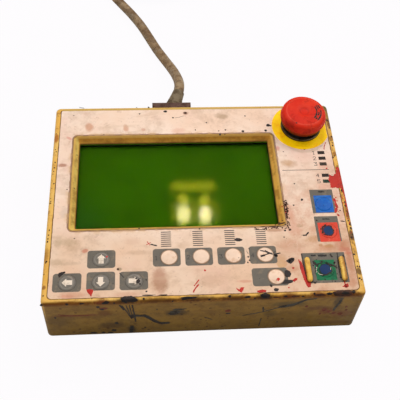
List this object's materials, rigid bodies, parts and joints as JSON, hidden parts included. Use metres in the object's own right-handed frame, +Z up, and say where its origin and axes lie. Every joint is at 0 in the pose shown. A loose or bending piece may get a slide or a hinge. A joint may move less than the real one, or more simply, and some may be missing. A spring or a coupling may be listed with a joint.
{
  "type": "teach pendant",
  "caption": "Handheld teach pendant: a deep moulded case with a screen, film keys, a mushroom stop button and a long lead with a round plug.",
  "frame": {"origin": "centre of the case on the ground, under its back cover", "axes": "+X along the face to the stop button's side, +Y to the side where the lead leaves, +Z up through the face"},
  "size_m": [0.2448, 0.5506, 0.077],
  "materials": {
    "case_yellow": "aged, grimy",
    "film_white": "worn satin film",
    "sheet_clear": "polyester sheet",
    "spring_steel": "bright",
    "key_grey": "worn satin film",
    "key_white": "worn satin film",
    "key_blue": "worn satin film",
    "key_red": "worn satin film",
    "key_green": "worn satin film",
    "legend_yellow": "satin",
    "bright_metal": "worn plating",
    "black_plastic": "moulded",
    "white_plastic": "moulded",
    "stop_red": "worn gloss",
    "window_clear": "clear, scratched",
    "black_rubber": "matt",
    "frame_steel": "blackened",
    "lcd_green": "polariser over glass",
    "board_green": "solder resist",
    "screw_steel": "zinc plated",
    "lamp_dark": "smoked",
    "ivory_plastic": "moulded",
    "gland_brown": "grimy",
    "lead_grey": "dirty jacket",
    "plug_metal": "nickel plated",
    "contact_brass": "gold flashed"
  },
  "bodies": {
    "case": {"housing": "case_yellow", "guard_rails": "case_yellow", "back_cover": "case_yellow", "overlay_film": "film_white", "keypad_spacer": "sheet_clear", "keypad_circuit": "sheet_clear", "snap_domes": "spring_steel", "legend_disc": "legend_yellow", "stop_collar": "bright_metal", "stop_barrel": "black_plastic", "stop_nut": "black_plastic", "stop_spring": "spring_steel", "contact_block": "black_plastic", "window": "window_clear", "window_foam": "black_rubber", "lcd_frame": "frame_steel", "lcd_glass": "lcd_green", "lcd_backlight": "white_plastic", "lcd_board": "board_green", "lcd_screws": "screw_steel", "light_pipes": "lamp_dark", "lamps": "lamp_dark", "main_board": "board_green", "chips": "black_plastic", "board_screws": "screw_steel", "tail_socket": "ivory_plastic", "lead_header": "ivory_plastic", "harness": "black_rubber", "cover_seal": "black_rubber", "cover_screws": "screw_steel", "gland_block": "gland_brown", "gland_screws": "screw_steel", "lead_boot": "black_rubber", "lead_tube": "lead_grey", "lead_coil": "lead_grey", "coil_tie": "black_plastic", "lead_tail": "lead_grey", "plug_boot": "black_rubber", "plug_shell": "plug_metal", "plug_insert": "black_plastic", "plug_contacts": "contact_brass"},
    "key_up": {"key_up": "key_grey"},
    "key_left": {"key_left": "key_grey"},
    "key_down": {"key_down": "key_grey"},
    "key_right": {"key_right": "key_grey"},
    "key_f1": {"key_f1": "key_white"},
    "key_f2": {"key_f2": "key_white"},
    "key_f3": {"key_f3": "key_white"},
    "key_f4": {"key_f4": "key_white"},
    "key_enter": {"key_enter": "key_white"},
    "key_reset": {"key_reset": "key_blue"},
    "key_pause": {"key_pause": "key_red"},
    "key_start": {"key_start": "key_green"},
    "stop_plunger": {"stop_plunger": "white_plastic"},
    "stop_head": {"stop_head": "stop_red"},
    "plug_ring": {"plug_ring": "plug_metal"}
  },
  "joints": [
    {"name": "key_up_press", "type": "slide", "parent": "case", "child": "key_up", "axis": [0, 0, 1], "range_m": [-0.0004, 0], "stiffness_N_per_m": 4000},
    {"name": "key_left_press", "type": "slide", "parent": "case", "child": "key_left", "axis": [0, 0, 1], "range_m": [-0.0004, 0], "stiffness_N_per_m": 4000},
    {"name": "key_down_press", "type": "slide", "parent": "case", "child": "key_down", "axis": [0, 0, 1], "range_m": [-0.0004, 0], "stiffness_N_per_m": 4000},
    {"name": "key_right_press", "type": "slide", "parent": "case", "child": "key_right", "axis": [0, 0, 1], "range_m": [-0.0004, 0], "stiffness_N_per_m": 4000},
    {"name": "key_f1_press", "type": "slide", "parent": "case", "child": "key_f1", "axis": [0, 0, 1], "range_m": [-0.0004, 0], "stiffness_N_per_m": 4000},
    {"name": "key_f2_press", "type": "slide", "parent": "case", "child": "key_f2", "axis": [0, 0, 1], "range_m": [-0.0004, 0], "stiffness_N_per_m": 4000},
    {"name": "key_f3_press", "type": "slide", "parent": "case", "child": "key_f3", "axis": [0, 0, 1], "range_m": [-0.0004, 0], "stiffness_N_per_m": 4000},
    {"name": "key_f4_press", "type": "slide", "parent": "case", "child": "key_f4", "axis": [0, 0, 1], "range_m": [-0.0004, 0], "stiffness_N_per_m": 4000},
    {"name": "key_enter_press", "type": "slide", "parent": "case", "child": "key_enter", "axis": [0, 0, 1], "range_m": [-0.0004, 0], "stiffness_N_per_m": 4000},
    {"name": "key_reset_press", "type": "slide", "parent": "case", "child": "key_reset", "axis": [0, 0, 1], "range_m": [-0.0004, 0], "stiffness_N_per_m": 4000},
    {"name": "key_pause_press", "type": "slide", "parent": "case", "child": "key_pause", "axis": [0, 0, 1], "range_m": [-0.0004, 0], "stiffness_N_per_m": 4000},
    {"name": "key_start_press", "type": "slide", "parent": "case", "child": "key_start", "axis": [0, 0, 1], "range_m": [-0.0004, 0], "stiffness_N_per_m": 4000},
    {"name": "stop_press", "type": "slide", "parent": "case", "child": "stop_plunger", "axis": [0, 0, 1], "range_m": [-0.004, 0], "stiffness_N_per_m": 1500, "springref_m": 0.001, "deforming": ["stop_spring"]},
    {"name": "stop_twist", "type": "hinge", "parent": "stop_plunger", "child": "stop_head", "pos_m": [0.0925, 0.0682, 0.07], "axis": [0, 0, 1], "range_deg": [-45, 0], "stiffness_Nm_per_rad": 0.05},
    {"name": "plug_ring_turn", "type": "hinge", "parent": "case", "child": "plug_ring", "pos_m": [-0.1, 0.357, 0.0425], "axis": [-1, 0, 0], "continuous": true}
  ]
}
